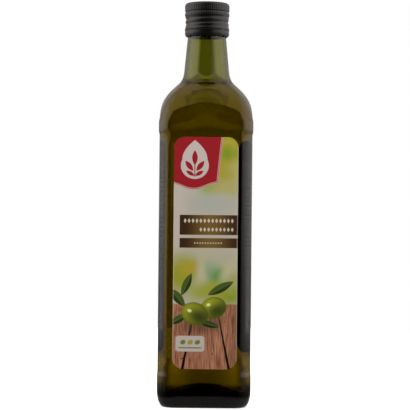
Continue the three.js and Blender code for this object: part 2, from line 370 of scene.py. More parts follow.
# %% Node helper
class Recipe:
    def __init__(self, name, world=None):
        self.material = None if world else bpy.data.materials.new(name)
        owner = world or self.material
        owner.use_nodes = True
        self.tree = owner.node_tree
        self.tree.nodes.clear()
        self.output = self.node("ShaderNodeOutputWorld" if world else "ShaderNodeOutputMaterial")

    def node(self, kind, inputs=None, **settings):
        made = self.tree.nodes.new(kind)
        for key, value in settings.items():
            setattr(made, key, value)
        for key, value in (inputs or {}).items():
            self.feed(made.inputs[key], value)
        return made

    def feed(self, socket, value):
        if isinstance(value, bpy.types.NodeSocket):
            self.tree.links.new(value, socket)
        else:
            socket.default_value = value

    def math(self, operation, *values, clamp=False):
        inputs = dict(enumerate(values))
        return self.node("ShaderNodeMath", inputs, operation=operation, use_clamp=clamp).outputs[0]

    def ease(self, value, start, end, low=0.0, high=1.0):
        inputs = {"Value": value, "From Min": start, "From Max": end, "To Min": low, "To Max": high}
        return self.node("ShaderNodeMapRange", inputs, interpolation_type="SMOOTHSTEP").outputs[0]

    def blend(self, factor, low, high):
        """A number between low and high."""
        return self.node("ShaderNodeMix", {0: factor, 2: low, 3: high}).outputs[0]

    def mix(self, factor, under, over, blend="MIX"):
        mixer = self.node("ShaderNodeMix", data_type="RGBA", blend_type=blend)
        self.feed(mixer.inputs["Factor"], factor)
        self.feed(mixer.inputs["A"], under)
        self.feed(mixer.inputs["B"], over)
        return mixer.outputs["Result"]

    def noise(self, vector, scale, detail=2.0, rough=0.5, warp=0.0):
        inputs = {"Vector": vector, "Scale": scale, "Detail": detail, "Roughness": rough, "Distortion": warp}
        return self.node("ShaderNodeTexNoise", inputs).outputs["Fac"]

    def bump(self, height, strength, distance):
        inputs = {"Height": height, "Strength": strength, "Distance": distance * MM}
        return self.node("ShaderNodeBump", inputs).outputs[0]

    def principled(self, **inputs):
        named = {key.replace("_", " "): value for key, value in inputs.items()}
        return self.node("ShaderNodeBsdfPrincipled", named)

    def coat(self, piece, surface, volume=None):
        """Ends the recipe: links its shaders and puts the material on a piece."""
        self.feed(self.output.inputs["Surface"], surface.outputs[0])
        if volume:
            self.feed(self.output.inputs["Volume"], volume.outputs[0])
        piece.data.materials.append(self.material)
        print(self.material.name, "uses", len(self.tree.nodes), "nodes")


def rgb(red, green, blue):
    """A colour typed as 0 to 255 screen values, turned into the linear light that shaders use."""
    def linear(value):
        value /= 255
        return value / 12.92 if value <= 0.04045 else ((value + 0.055) / 1.055) ** 2.4
    return (linear(red), linear(green), linear(blue), 1.0)


CLEAR = (1, 1, 1, 1)
print("mid grey in linear light:", round(rgb(128, 128, 128)[0], 3))

# %% [markdown]
# ## Green glass
# Bottle glass takes its colour from its thickness: a thin wall looks olive, and the thick base is
# nearly black. So the colour is not painted on. The surface is clear, and absorption inside the
# volume does the tinting, for every millimetre the light travels. Slow waves in the skin, left by
# the mould, come from noise that only nudges the normal. Where oil wets the wall, a second surface
# with the small step from glass to oil takes over. The slope of the shoulder mirrors the ceiling of
# the set, and a yellow tint is painted into that reflection where the glass faces up: a painted sheen,
# yellow in the middle and paler towards the corners.

# %% Glass material
GLASS_IOR, OIL_IOR = 1.52, 1.47
GLASS_TINT, GLASS_DENSITY = (0.62, 0.625, 0.02, 1), 1250.0
# Green and blue of the painted sheen, a yellow tint painted into the reflection of the glass.
PAINTED_SHEEN_GREEN, PAINTED_SHEEN_BLUE = 0.85, 0.03
recipe = Recipe("olive_green_glass")
place = recipe.node("ShaderNodeTexCoord").outputs["Object"]
waves = recipe.noise(place, 45.0, 1.0)
skin = recipe.bump(waves, 0.12, 0.6)
normal = recipe.node("ShaderNodeTexCoord").outputs["Normal"]
facing = recipe.node("ShaderNodeSeparateXYZ", {0: normal}).outputs
# Painted reflection: glass that faces up gets a yellow tint on its reflection, paler where it faces the
# sides.
blue = recipe.math("ADD", recipe.math("ABSOLUTE", facing[0]), PAINTED_SHEEN_BLUE, clamp=True)
slope = {"Red": 1.0, "Green": PAINTED_SHEEN_GREEN, "Blue": blue}
painted_slope_sheen = recipe.node("ShaderNodeCombineColor", slope).outputs[0]
sheen = recipe.mix(recipe.ease(facing[2], 0.15, 0.4), CLEAR, painted_slope_sheen)
clear = recipe.principled(Base_Color=CLEAR, Roughness=0.015, IOR=GLASS_IOR,
                          Transmission_Weight=1.0, Specular_Tint=sheen, Normal=skin)
wet = recipe.principled(Base_Color=CLEAR, Roughness=0.0, IOR=GLASS_IOR / OIL_IOR,
                        Transmission_Weight=1.0)
wetted = recipe.node("ShaderNodeAttribute", attribute_name="wetted").outputs["Fac"]
both = recipe.node("ShaderNodeMixShader", {0: wetted, 1: clear.outputs[0], 2: wet.outputs[0]})
tint = recipe.node("ShaderNodeVolumeAbsorption", {"Color": GLASS_TINT, "Density": GLASS_DENSITY})
recipe.coat(glass, both, tint)

# %% [markdown]
# ## Oil
# Oil is coloured through and through, far more weakly than the glass. Its sides are no surface at
# all, so they bend nothing; only the marked top does. The faint unevenness of the top is a very soft
# noise, which keeps the line of the level from looking ruled. A real level shows as a thin dark
# line, because the curl of the oil bends light away from the eye. The curl here is too small to do
# that by itself, so a narrow band of the sides, just under the edge, is darkened.

# %% Oil material
OIL_TINT, OIL_DENSITY = (0.933, 0.875, 0.0, 1), 150.0
EDGE_BAND, EDGE_BLUR, EDGE_DARK = 4.2, 0.2, (0.1, 0.08, 0.1, 1)
recipe = Recipe("yellow_green_oil")
place = recipe.node("ShaderNodeTexCoord").outputs["Object"]
ripple = recipe.bump(recipe.noise(place, 90.0, 1.0), 0.05, 0.3)
height = recipe.node("ShaderNodeSeparateXYZ", {0: place}).outputs[2]
band_foot = CONTACT - EDGE_BAND
under_edge = recipe.ease(height, (band_foot - EDGE_BLUR) * MM, (band_foot + EDGE_BLUR) * MM)
line = recipe.mix(under_edge, CLEAR, EDGE_DARK)
top = recipe.principled(Base_Color=CLEAR, Roughness=0.0, IOR=OIL_IOR,
                        Transmission_Weight=1.0, Normal=ripple)
sides = recipe.principled(Base_Color=line, Roughness=0.0, IOR=1.0, Transmission_Weight=1.0)
is_top = recipe.node("ShaderNodeAttribute", attribute_name="open_top").outputs["Fac"]
both = recipe.node("ShaderNodeMixShader", {0: is_top, 1: sides.outputs[0], 2: top.outputs[0]})
tint = recipe.node("ShaderNodeVolumeAbsorption", {"Color": OIL_TINT, "Density": OIL_DENSITY})
recipe.coat(oil, both, tint)

# %% [markdown]
# ## The pressed metal cap
# A cap like this starts as a smooth lacquered aluminium cup. Rollers press knurls into the top for
# the fingers, roll the screw thread into the skirt against the glass, and curl the loose band under
# the neck ring. All of that is shape, so all of it is modelled: the radius is a function of height
# and angle, and the loft samples it finely enough for every one of the seventy knurls.

# %% Screw cap
CAP_RADIUS, CAP_BOTTOM, CAP_TOP, CAP_WALL, CAP_INNER = 15.75, 258.9, 282.7, 0.5, 14.45
TOP_ROUND, KNURL_COUNT, KNURL_DEPTH = 2.0, 70, 0.15
KNURL_ROWS = ((277.0, 281.2), (273.7, 275.4))
GROOVE_HEIGHT, GROOVE_RADIUS = 276.3, 15.2
WAIST_TOP, WAIST_BOTTOM, WAIST_RADIUS = 272.8, 266.0, 15.3
THREAD_PITCH, THREAD_DEPTH, THREAD_WIDTH, THREAD_TURNS = 3.6, 0.45, 3.0, 1.8
THREAD_START, THREAD_FROM, THREAD_FADE = 266.2, 0.35, 0.08
CUT_HEIGHT, CUT_TALL, CUT_COUNT, BRIDGE_WIDTH, BRIDGE_TURN = 263.7, 0.35, 9, 0.9, -1.47
BAND_BULGE, BAND_GROOVE, ROLLED_EDGE = (15.7, 261.8), (15.5, 262.7), (13.85, 14.3)
TOP_RINGS = (12.0, 8.0)
COLUMNS_PER_KNURL = 8
CAP_COLUMNS = KNURL_COUNT * COLUMNS_PER_KNURL


def thread_at(height, turn):
    """How deep the rolled thread is, from 0 to 1. The angle turn starts at the front."""
    around = (turn / (2 * math.pi) - THREAD_FROM) % 1
    climbed = (height - THREAD_START) / THREAD_PITCH - around
    lap = round(climbed)
    gone = lap + around
    fade = smooth_step(gone, 0, THREAD_FADE)
    fade *= 1 - smooth_step(gone, THREAD_TURNS - THREAD_FADE, THREAD_TURNS)
    return fade * (1 - smooth_step(abs(climbed - lap) * THREAD_PITCH, 0, THREAD_WIDTH / 2))


def knurl_at(height, turn):
    """1 on the ridge of a knurl and 0 in the valley beside it, fading out at the ends of a row."""
    rows = []
    for low, high in KNURL_ROWS:
        from_foot = smooth_step(height, low - 0.25, low + 0.25)
        rows.append(from_foot * (1 - smooth_step(height, high - 0.5, high + 0.3)))
    valley = 0.5 - 0.5 * math.cos(turn * KNURL_COUNT)
    return max(rows) * (1 - valley**2)


def skirt_outline():
    """Radius against height on the outside of the cap, before knurls and thread are pressed in."""
    foot = CAP_RADIUS - KNURL_DEPTH
    low, high = KNURL_ROWS[1][0], KNURL_ROWS[0][0]
    curl = bend((ROLLED_EDGE[1], CAP_BOTTOM), (BAND_BULGE[0], CAP_BOTTOM + 0.6), BAND_BULGE, 10)
    lips = [BAND_GROOVE, (CAP_RADIUS - 0.04, CUT_HEIGHT - 0.5), (CAP_RADIUS, CUT_HEIGHT - CUT_TALL / 2),
            (CAP_RADIUS, CUT_HEIGHT + CUT_TALL / 2), (CAP_RADIUS - 0.04, CUT_HEIGHT + 0.5)]
    to_waist = step_between((CAP_RADIUS - 0.04, CUT_HEIGHT + 0.5), (WAIST_RADIUS, WAIST_BOTTOM), 8)
    waist = np.linspace((WAIST_RADIUS, WAIST_BOTTOM), (WAIST_RADIUS, WAIST_TOP), 30)
    to_row = step_between((WAIST_RADIUS, WAIST_TOP), (foot, low), 4)
    row = np.linspace((foot, low), (foot, KNURL_ROWS[1][1]), 7)
    in_groove = step_between(row[-1], (GROOVE_RADIUS, GROOVE_HEIGHT), 4)
    out_groove = step_between((GROOVE_RADIUS, GROOVE_HEIGHT), (foot, high), 4)
    tall = np.linspace((foot, high), (foot, CAP_TOP - TOP_ROUND), 12)
    crown = bend((foot, CAP_TOP - TOP_ROUND), (foot, CAP_TOP), (CAP_RADIUS - TOP_ROUND, CAP_TOP), 10)
    return np.concatenate([curl, lips, to_waist[1:], waist[1:], to_row[1:], row[1:],
                           in_groove[1:], out_groove[1:], tall[1:], crown[1:]])


def cap_ring(radius, height, pressed=True):
    ring = []
    for i in range(CAP_COLUMNS):
        turn = 2 * math.pi * i / CAP_COLUMNS
        reach = radius
        if pressed:
            reach += KNURL_DEPTH * knurl_at(height, turn)
            if WAIST_BOTTOM - 1 < height < KNURL_ROWS[1][0]:
                reach -= THREAD_DEPTH * thread_at(height, turn)
        ring.append((reach * math.sin(turn), -reach * math.cos(turn), height))
    return ring


skirt = skirt_outline()
band_inner = BAND_BULGE[0] - CAP_WALL
lining = [(CAP_INNER, CAP_TOP - CAP_WALL), (CAP_INNER, WAIST_BOTTOM), (band_inner, CUT_HEIGHT + 0.5),
          (band_inner, CUT_HEIGHT + CUT_TALL / 2), (band_inner, CUT_HEIGHT - CUT_TALL / 2),
          (band_inner, BAND_BULGE[1]), (ROLLED_EDGE[0] + 0.3, CAP_BOTTOM + 0.5),
          (ROLLED_EDGE[0], CAP_BOTTOM)]
cap_rings = [cap_ring(radius, height) for radius, height in skirt]
cap_rings += [cap_ring(radius, CAP_TOP, False) for radius in TOP_RINGS] + [[(0, 0, CAP_TOP)]]
cap_rings += [[(0, 0, CAP_TOP - CAP_WALL)]] + [cap_ring(r, h, False) for r, h in lining]
starts = np.cumsum([0] + [len(ring) for ring in cap_rings])


def is_cut(height, turn):
    """True where the row of cuts frees the band: between two narrow bridges."""
    if abs(height - CUT_HEIGHT) > CUT_TALL / 2:
        return False
    step = 2 * math.pi / CUT_COUNT
    offset = (turn - (BRIDGE_TURN + math.pi / 2)) % step
    half_bridge = BRIDGE_WIDTH / CAP_RADIUS / 2
    return half_bridge < offset < step - half_bridge


def cap_faces():
    """Quads between the rings, leaving slots where the band is cut and closing the slots' edges."""
    at_cut = [k for k, ring in enumerate(cap_rings)
              if abs(abs(ring[0][2] - CUT_HEIGHT) - CUT_TALL / 2) < 1e-6]
    low, high, inner_high, inner_low = at_cut
    faces = []
    open_at = [is_cut(CUT_HEIGHT, 2 * math.pi * (i + 0.5) / CAP_COLUMNS) for i in range(CAP_COLUMNS)]
    for k in range(len(cap_rings)):
        n = (k + 1) % len(cap_rings)
        if len(cap_rings[k]) == 1 and len(cap_rings[n]) == 1:
            continue
        for i in range(CAP_COLUMNS):
            j = (i + 1) % CAP_COLUMNS
            if open_at[i] and k in (low, inner_high):
                continue
            here = (i, j) if len(cap_rings[k]) > 1 else (0,)
            there = (j, i) if len(cap_rings[n]) > 1 else (0,)
            faces.append([int(starts[k]) + v for v in here] + [int(starts[n]) + v for v in there])
    for i in range(CAP_COLUMNS):
        j, before = (i + 1) % CAP_COLUMNS, i - 1
        if not open_at[i]:
            continue
        a, b, c, d = (int(starts[k]) for k in (low, inner_low, high, inner_high))
        faces.append([a + i, a + j, b + j, b + i])
        faces.append([c + j, c + i, d + i, d + j])
        if not open_at[before]:
            faces.append([a + i, b + i, d + i, c + i])
        if not open_at[j]:
            faces.append([a + j, c + j, d + j, b + j])
    return faces


cap = new_object("knurled_cap", [v for ring in cap_rings for v in ring], cap_faces())
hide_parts("screw_cap")
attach(cap, "root")
print("cap faces:", len(cap.data.polygons))

# %% [markdown]
# ## Black lacquer
# The cap is lacquered, so it mirrors light like a dark plastic, not like bare metal. The lacquer is
# satin, and its gloss changes a little from place to place, where hands and rollers have rubbed it.

# %% Lacquer material
recipe = Recipe("black_satin_lacquer")
place = recipe.node("ShaderNodeTexCoord").outputs["Object"]
wear = recipe.noise(place, 160.0, 4.0, 0.6)
gloss = recipe.ease(wear, 0.3, 0.7, 0.22, 0.30)
ink = recipe.mix(wear, rgb(7, 7, 6), rgb(13, 13, 11))
fine = recipe.bump(recipe.noise(place, 1400.0, 2.0), 0.08, 0.05)
lacquer = recipe.principled(Base_Color=ink, Roughness=gloss, IOR=1.5, Normal=fine)
recipe.coat(cap, lacquer)

# %% [markdown]
# ## Two paper labels
# Each label is a strip of coated paper with round corners, glued to a recessed panel. Paper is thin
# but not flat as a decal: its edge has a thickness that catches light, so it is cut as a real plate
# with a tiny softened edge. The print is a material, because ink has no thickness one can see.

# %% Label plates
LABEL_THICK, LABEL_GAP, LABEL_EDGE = 0.3, 0.05, 0.07
FRONT = {"left": -21.8, "right": 22.4, "low": 27.3, "high": 186.9, "corner": 7.4}
BACK = {"left": -23.4, "right": 16.6, "low": 35.0, "high": 186.9, "corner": 6.0}
CORNER_POINTS = 14


def rounded_rectangle(label, inward):
    points = []
    radius = label["corner"] - inward
    corners = (("right", "low", -1, 1, -90), ("right", "high", -1, -1, 0),
               ("left", "high", 1, -1, 90), ("left", "low", 1, 1, 180))
    for side, end, to_x, to_z, first in corners:
        x, z = label[side] + to_x * label["corner"], label[end] + to_z * label["corner"]
        for i in range(CORNER_POINTS + 1):
            angle = math.radians(first + 90 * i / CORNER_POINTS)
            points.append((x + radius * math.cos(angle), z + radius * math.sin(angle)))
    return points


def label_plate(name, label, facing):
    """A plate standing in front of a panel. Facing is -1 for the front and 1 for the back."""
    wall = PANEL_HALF + LABEL_GAP
    face = wall + LABEL_THICK
    layers = ((0, wall), (0, face - LABEL_EDGE), (LABEL_EDGE * 0.4, face - LABEL_EDGE * 0.3),
              (LABEL_EDGE * 1.4, face))
    vertices, faces = [], []
    for inward, out in layers:
        vertices += [(-facing * x, facing * out, z) for x, z in rounded_rectangle(label, inward)]
    count = len(vertices) // len(layers)
    faces.append(list(range(count))[::-1])
    for k in range(len(layers) - 1):
        for i in range(count):
            j = (i + 1) % count
            faces.append([k * count + i, k * count + j, (k + 1) * count + j, (k + 1) * count + i])
    faces.append([(len(layers) - 1) * count + i for i in range(count)])
    return new_object(name, vertices, faces, smooth=False)


front_paper = label_plate("front_print", FRONT, -1)
back_paper = label_plate("back_print", BACK, 1)
for piece, node, slot in ((front_paper, "front_label", "front_paper"),
                          (back_paper, "back_label", "back_paper")):
    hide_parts(node)
    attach(piece, "root")
    print(piece.name, "size in mm:", [round(v / MM, 1) for v in piece.dimensions])

# %% [markdown]
# ## Drawing with distances
# The print is drawn the way a stencil cutter works: every shape is a mask, and every mask is layered
# over what lies below it. A mask comes from a distance, so one small formula gives a soft blur or a
# knife-sharp edge. These helpers add rectangles, ellipses and leaves to the node recipe.

# %% Stencil helper
class Print(Recipe):
    """A recipe that draws on a plane in millimetres, with x to the right and z up."""

    def __init__(self, name, facing=-1):
        super().__init__(name)
        place = self.node("ShaderNodeTexCoord").outputs["Object"]
        axes = self.node("ShaderNodeSeparateXYZ", {0: place}).outputs
        self.x = self.math("MULTIPLY", axes[0], -facing / MM)
        self.z = self.math("MULTIPLY", axes[2], 1 / MM)
        self.place = self.node("ShaderNodeCombineXYZ", {0: self.x, 1: self.z}).outputs[0]
        self.ink = None

    def local(self, x, z, degrees=0.0):
        """Coordinates along and across a direction, counted from a point."""
        dx, dz = self.math("SUBTRACT", self.x, x), self.math("SUBTRACT", self.z, z)
        if not degrees:
            return dx, dz
        c, s = math.cos(math.radians(degrees)), math.sin(math.radians(degrees))
        along = self.math("MULTIPLY_ADD", dx, c, self.math("MULTIPLY", dz, s))
        across = self.math("MULTIPLY_ADD", dz, c, self.math("MULTIPLY", dx, -s))
        return along, across

    def ellipse(self, x, z, long, short, degrees=0.0, soft=0.2):
        """1 inside an ellipse. Soft is the width of its edge in millimetres."""
        along, across = self.local(x, z, degrees)
        u, v = self.math("DIVIDE", along, long), self.math("DIVIDE", across, short)
        far = self.math("SQRT", self.math("MULTIPLY_ADD", u, u, self.math("MULTIPLY", v, v)))
        blur = soft / min(long, short)
        return self.ease(far, 1 + blur / 2, max(1 - blur / 2, 0.0))

    def leaf(self, x, z, long, wide, degrees, soft=0.25):
        """A blade between two points, widest in the middle, and its coordinate across the vein."""
        along, across = self.local(x, z, degrees)
        u = self.math("DIVIDE", along, long)
        room = self.math("MULTIPLY", self.math("SUBTRACT", 1.0, self.math("MULTIPLY", u, u)), wide)
        inside = self.math("SUBTRACT", room, self.math("ABSOLUTE", across))
        return self.ease(inside, -soft / 2, soft / 2), across

    def rectangle(self, left, right, low, high, soft=0.2):
        middle_x, middle_z = (left + right) / 2, (low + high) / 2
        dx, dz = self.local(middle_x, middle_z)
        over_x = self.math("SUBTRACT", self.math("ABSOLUTE", dx), (right - left) / 2)
        over_z = self.math("SUBTRACT", self.math("ABSOLUTE", dz), (high - low) / 2)
        return self.ease(self.math("MAXIMUM", over_x, over_z), soft / 2, -soft / 2)

    def slanted(self, top, foot, width_top, width_foot):
        """A thin wedge that runs from one point down to another, such as the gap between planks."""
        t = self.math("DIVIDE", self.math("SUBTRACT", top[1], self.z), top[1] - foot[1])
        middle = self.math("MULTIPLY_ADD", t, foot[0] - top[0], top[0])
        half = self.math("MULTIPLY_ADD", t, (width_foot - width_top) / 2, width_top / 2)
        away = self.math("ABSOLUTE", self.math("SUBTRACT", self.x, middle))
        line = self.ease(self.math("SUBTRACT", away, half), 0.15, -0.15)
        return self.math("MULTIPLY", line, self.ease(t, -0.01, 0.0))

    def stack(self, mask, colour):
        self.ink = colour if self.ink is None else self.mix(mask, self.ink, colour)

    def only(self, *masks):
        both = masks[0]
        for mask in masks[1:]:
            both = self.math("MULTIPLY", both, mask)
        return both

    def finish_paper(self, gloss, piece):
        fibres = self.noise(self.place, 1.3, 3.0)
        tooth = self.bump(fibres, 0.15, 0.04)
        mottle = self.mix(fibres, rgb(120, 118, 112), rgb(250, 248, 240))
        toned = self.mix(0.07, self.ink, mottle, "MULTIPLY")
        paper = self.principled(Base_Color=toned, Roughness=gloss, IOR=1.45, Normal=tooth)
        paper.inputs["Specular IOR Level"].default_value = 0.12
        self.coat(piece, paper)


print("drawing tools:", [name for name in vars(Print) if not name.startswith("_")])

# %% [markdown]
# ## The background of the front print
# Printed food labels love a garden out of focus. Far things in such a picture turn into soft round
# spots, so the background is a pale field with wide blurred ellipses of yellow, leaf green and
# sea green. A little noise moves their edges, and the middle stays pale to carry two bronze bars.
# Each spot is listed as its place, its half width and height, its tilt, its blur and its colour.

# %% Front print, background
art = Print("front_print_ink")
sway = art.noise(art.place, 0.09, 2.0, 0.5, 0.6)
art.stack(None, rgb(176, 173, 158))
far_spots = (
    (12, 178, 22, 20, 0, 14, (160, 152, 38)), (15, 175, 5, 4.5, 0, 6, (116, 142, 34)),
    (20, 162, 3.5, 6, 0, 5, (172, 170, 112)), (12, 162, 8, 8, 20, 9, (160, 150, 52)),
    (3, 151.5, 6, 5, 30, 7, (140, 156, 70)), (16, 151, 10, 5, 0, 7, (166, 162, 98)),
    (4, 141, 17, 6, 0, 8, (163, 167, 158)), (-19, 130, 4, 24, 0, 8, (184, 176, 166)),
    (-8, 103, 14, 6, 0, 8, (166, 168, 134)), (12, 104, 12, 4, 0, 6, (172, 168, 146)),
    (-16, 92, 11, 12, 0, 9, (146, 150, 42)), (-10, 97, 7, 4.5, 0, 5, (166, 150, 44)),
    (14, 84, 12, 12, 0, 9, (152, 156, 62)), (3, 95, 6.5, 5, 15, 6, (134, 160, 122)),
    (9, 91, 5, 4, 40, 5, (92, 142, 72)), (-2.5, 92, 2.2, 8, 0, 4, (182, 177, 140)),
    (16, 95, 3.0, 7, -30, 5, (178, 178, 140)), (-2, 80, 9, 6, 0, 7, (150, 160, 66)),
    (18, 77, 6, 5, 0, 6, (132, 148, 40)), (6, 82, 6, 4, 0, 6, (150, 156, 44)),
)
for x, z, wide, tall, tilt, soft, colour in far_spots:
    spot = art.ellipse(x, z, wide, tall, tilt, soft * 1.6)
    art.stack(art.math("MULTIPLY", spot, art.ease(sway, 0.2, 0.5, 0.75, 1.0)), rgb(*colour))
print("blurred spots:", len(far_spots))

# %% [markdown]
# ## The table top
# The lower third is a table of weathered planks. Wood grain is noise pulled out along the plank. The
# gaps between planks run towards a far point, which makes a flat print look deep, and a soft shadow
# sets the fruit down on the boards.

# %% Front print, planks
TABLE_EDGE = 72.0
stretch = art.node("ShaderNodeMapping", {"Vector": art.place, "Scale": (1.0, 0.07, 1.0)}).outputs[0]
grain = art.noise(stretch, 1.1, 5.0, 0.6, 0.3)
stains = art.noise(art.place, 0.16, 3.0)
boards = art.mix(art.ease(grain, 0.34, 0.66), rgb(122, 74, 50), rgb(184, 132, 102))
boards = art.mix(art.ease(stains, 0.4, 0.7, 0.0, 0.45), boards, rgb(158, 110, 82))
to_edge = art.ease(art.x, 14.0, 22.4, 0.0, 0.4)
boards = art.mix(to_edge, boards, rgb(80, 52, 38))
art.stack(art.ease(art.z, TABLE_EDGE + 0.7, TABLE_EDGE - 0.5), boards)
on_table = art.ease(art.z, TABLE_EDGE, TABLE_EDGE - 0.6)
gaps = (((-6.2, TABLE_EDGE), (-15.2, 26), 0.4, 2.0), ((8.0, TABLE_EDGE), (17.4, 26), 0.4, 1.9))
for top, foot, thin, thick in gaps:
    art.stack(art.math("MULTIPLY", art.slanted(top, foot, thin, thick), on_table), rgb(16, 10, 6))
knots = ((-15.5, 34.5, 0.9, 0.35), (6.0, 38, 0.3, 0.9), (14.0, 60, 0.3, 0.4))
for x, z, long, short in knots:
    art.stack(art.ellipse(x, z, long, short, 25, 0.3), rgb(52, 32, 22))
shade = art.ellipse(-2.0, 58.5, 16, 6.5, 5, 9)
art.stack(art.math("MULTIPLY", shade, 0.6), rgb(66, 44, 30))
print("planks:", len(gaps) + 1, "knots:", len(knots))

# %% [markdown]
# ## Olives and leaves
# An olive is an egg lit from the upper left, so each one is an ellipse with a bright side, a dark
# underside and a small highlight. The leaves are long blades, dark on one side of the vein and
# lighter on the other. Leaves behind the fruit are stacked first.

# %% Front print, fruit
def draw_leaf(x, z, long, wide, degrees, dark=(36, 56, 16), light=(70, 92, 32)):
    blade, across = art.leaf(x, z, long, wide, degrees)
    tone = art.mix(art.ease(across, -wide * 0.8, wide * 0.8), rgb(*dark), rgb(*light))
    vein = art.ease(art.math("ABSOLUTE", across), 0.28, 0.05)
    tone = art.mix(art.math("MULTIPLY", vein, 0.6), tone, rgb(124, 136, 74))
    art.stack(blade, tone)


def draw_olive(x, z, long, short, degrees):
    body = art.ellipse(x, z, long, short, degrees, 0.3)
    shade_x, shade_z = x + 0.34 * long, z - 0.30 * short
    light_x, light_z = x - 0.45 * long, z + 0.30 * short
    tone = art.mix(art.ellipse(light_x, light_z, long * 0.95, short * 0.95, degrees, short * 1.5),
                   rgb(92, 98, 20), rgb(148, 154, 32))
    tone = art.mix(art.ellipse(shade_x, shade_z, long * 0.8, short * 0.62, degrees, short * 1.1),
                   tone, rgb(58, 70, 16))
    rim = art.ellipse(x, z, long * 0.97, short * 0.95, degrees, short * 0.5)
    tone = art.mix(rim, rgb(70, 88, 20), tone)
    glint = art.ellipse(light_x + 0.5, light_z - 0.2, long * 0.16, short * 0.14, degrees, 0.9)
    tone = art.mix(glint, tone, rgb(218, 222, 150))
    art.stack(body, tone)


back_leaves = ((-12.5, 85.5, 8.6, 2.7, 66), (11.0, 83.0, 10.2, 2.9, 28),
               (-18.5, 76.5, 8.0, 3.1, -50), (-18.0, 61.5, 7.0, 2.6, 30))
for blade in back_leaves:
    draw_leaf(*blade)
draw_olive(6.2, 69.6, 8.8, 7.4, 14)
draw_leaf(3.4, 58.2, 7.4, 2.2, -14, (30, 48, 16), (52, 74, 26))
draw_olive(-6.6, 65.4, 9.4, 7.7, -20)
print("leaves behind the olives:", len(back_leaves))

# %% [markdown]
# ## Bronze bars and the corner tab
# Two bars with a bronze sheen cross the middle, and a crimson tab with a wavy foot and two thin rims
# fills the upper corner. The bars hold rows of pale lozenges and the tab a pale drop with a sprig,
# so the print has the rhythm of light and dark that a food label has.

# %% Front print, bars and tab
bronze_place = art.ease(art.math("ABSOLUTE", art.math("SUBTRACT", art.x, 3.6)), 0.0, 19.0)
bronze = art.mix(bronze_place, rgb(112, 88, 38), rgb(58, 36, 20))
for low, high in ((119.6, 133.3), (110.7, 117.4)):
    art.stack(art.rectangle(-17.5, 22.6, low, high), bronze)
pale = rgb(196, 188, 172)


def draw_row(z, last, count, pitch, tall, wide):
    """A row of upright lozenges that ends at a given place on the right."""
    phase = art.math("PINGPONG", art.math("SUBTRACT", art.x, last), pitch / 2)
    dz = art.math("ABSOLUTE", art.math("SUBTRACT", art.z, z))
    size = art.math("MULTIPLY_ADD", phase, tall / wide, dz)
    gem = art.ease(size, tall / 2, tall / 2 - 0.35)
    left = last - (count - 0.5) * pitch
    art.stack(art.math("MULTIPLY", gem, art.rectangle(left, last + pitch / 2, z - tall, z + tall)), pale)


lozenge_rows = ((129.3, 18.6, 13, 2.7, 3.7, 2.1), (123.3, 18.6, 9, 2.7, 3.5, 2.1),
                (114.0, 11.0, 11, 1.8, 1.9, 1.2))
for row in lozenge_rows:
    draw_row(*row)

crimson = art.mix(art.noise(art.place, 0.3, 2.0), rgb(150, 23, 33), rgb(143, 19, 30))
swell = art.math("MULTIPLY", art.math("SINE", art.math("MULTIPLY", art.x, 0.19)), 2.2)
tab_foot = art.math("SUBTRACT", art.z, art.math("ADD", swell, 154.0))
leaning = art.math("MULTIPLY_ADD", art.math("SUBTRACT", art.z, 187.0), 0.10, 10.6)
reach = art.math("MINIMUM", tab_foot, art.math("SUBTRACT", leaning, art.x))
art.stack(art.ease(reach, -1.25, -1.05), rgb(190, 150, 150))
art.stack(art.ease(reach, -0.85, -0.65), rgb(150, 40, 52))
art.stack(art.ease(reach, -0.45, -0.25), rgb(196, 168, 168))
art.stack(art.ease(reach, -0.1, 0.1), crimson)
belly = art.ellipse(-7.5, 167.2, 9.6, 9.2, 0, 0.3)
point = art.only(art.leaf(-7.5, 171.5, 13.2, 8.6, 90, 0.3)[0], art.ease(art.z, 168.0, 168.1))
art.stack(art.math("MAXIMUM", belly, point), rgb(187, 178, 173))
sprig = ((-7.5, 172.6, 5.2, 1.9, 90), (-11.3, 167.0, 4.4, 1.7, 128), (-3.7, 167.0, 4.4, 1.7, 52),
         (-10.6, 161.9, 3.4, 1.3, 150), (-4.4, 161.9, 3.4, 1.3, 30))
for blade in sprig:
    art.stack(art.leaf(*blade)[0], crimson)
art.stack(art.rectangle(-7.8, -7.2, 159.4, 168.4), crimson)
print("rows of lozenges:", len(lozenge_rows), "leaves on the sprig:", len(sprig))

# %% [markdown]
# ## The plate and the margin
# A pale plate with round ends lies over the planks at the lower left, with three small ovals and a
# green rule. A faint pale margin then runs down the sides, where paper shows beside the ink. It is
# the last layer of the print, so this step also turns the drawing into paper.

# %% Front print, plate and margin
plate = art.rectangle(-19.6, 0.2, 40.0, 49.6, 0.3)
round_ends = art.math("MAXIMUM", art.rectangle(-18.4, -1.0, 39.4, 50.2, 0.3), plate)
art.stack(round_ends, rgb(184, 178, 170))
art.stack(art.rectangle(-17.6, -1.8, 41.6, 42.3), rgb(92, 108, 44))
for i, colour in enumerate(((112, 122, 40), (150, 146, 60), (112, 122, 40))):
    art.stack(art.ellipse(-14.6 + i * 5.0, 45.8, 1.9, 1.5, 25, 0.25), rgb(*colour))
side_margin = art.math("ABSOLUTE", art.math("SUBTRACT", art.x, 0.3))
beside_tab = art.math("MAXIMUM", art.ease(art.z, 150.5, 149.5), art.ease(art.x, 0, 1))
margin = art.math("MULTIPLY", art.ease(side_margin, 21.35, 21.65), beside_tab)
art.stack(art.math("MULTIPLY", margin, 0.3), rgb(206, 200, 180))
art.finish_paper(0.42, front_paper)

# %% [markdown]
# ## The back print
# From the front the back label is only a dark shape behind the oil, so its own face stays plain:
# pale paper, a band of olive green and rows of fine grey rules with ragged ends. The rules are one
# wave along the height, cut off by a mask, which costs a few nodes where single rules cost hundreds.

